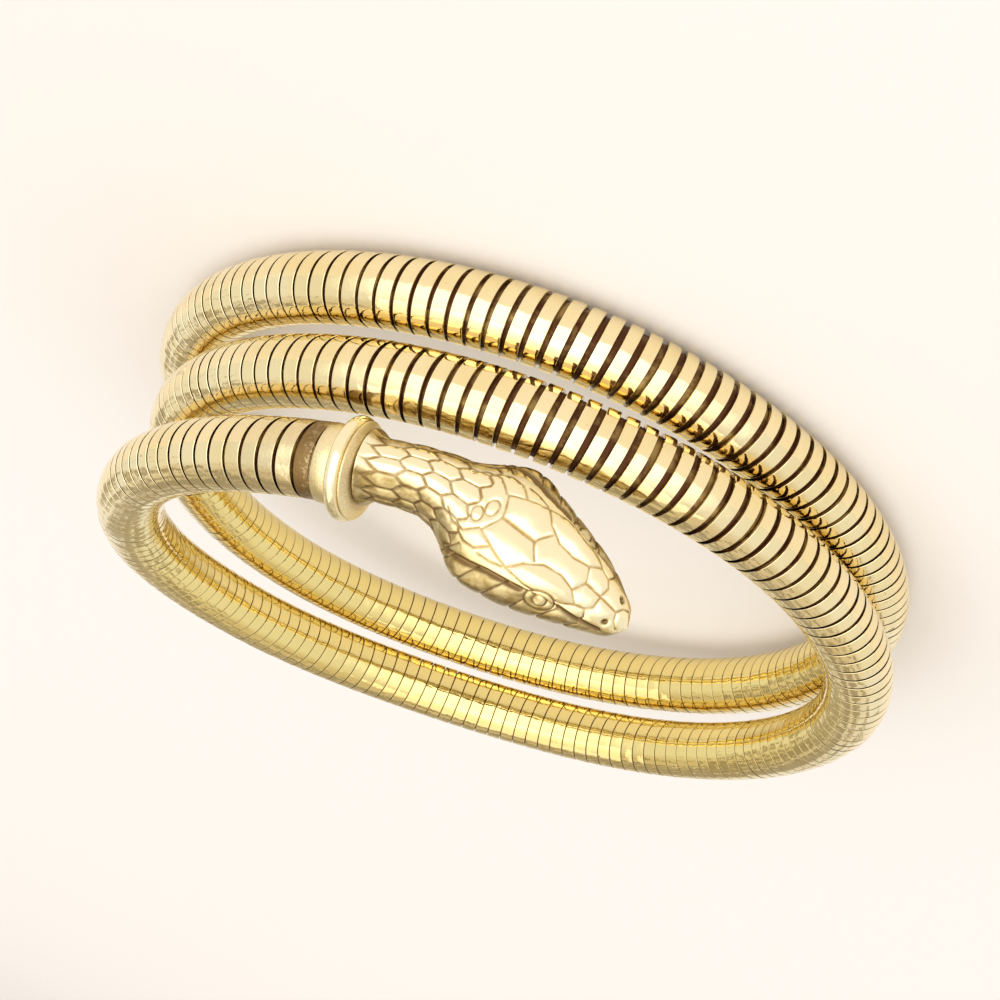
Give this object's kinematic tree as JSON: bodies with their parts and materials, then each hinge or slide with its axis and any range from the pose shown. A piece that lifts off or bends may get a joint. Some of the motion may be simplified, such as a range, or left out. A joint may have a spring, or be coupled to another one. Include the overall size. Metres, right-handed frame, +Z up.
{
  "type": "snake bracelet",
  "caption": "Coiled bracelet of flexible wound metal tube ending in a beaded collar and a cast snake head, with a plain tapered tail.",
  "frame": {"origin": "point of the coil's axis on the surface that the bracelet lies on", "axes": "+Z up along the coil's axis, towards the turn that carries the head; the snake's head is on the -Y side and looks towards -X"},
  "size_m": [0.0753, 0.0745, 0.024],
  "materials": {
    "polished_strip": "polished pale gold",
    "dark_inner_strip": "dark tarnish",
    "polished_collar": "polished pale gold",
    "cast_head": "satin cast gold with darkened grooves"
  },
  "bodies": {
    "root": {"lower_winding": "polished_strip", "upper_winding": "polished_strip", "inner_strip": "dark_inner_strip", "tail_cap": "polished_collar", "collar": "polished_collar", "snake_head": "cast_head"}
  },
  "joints": []
}
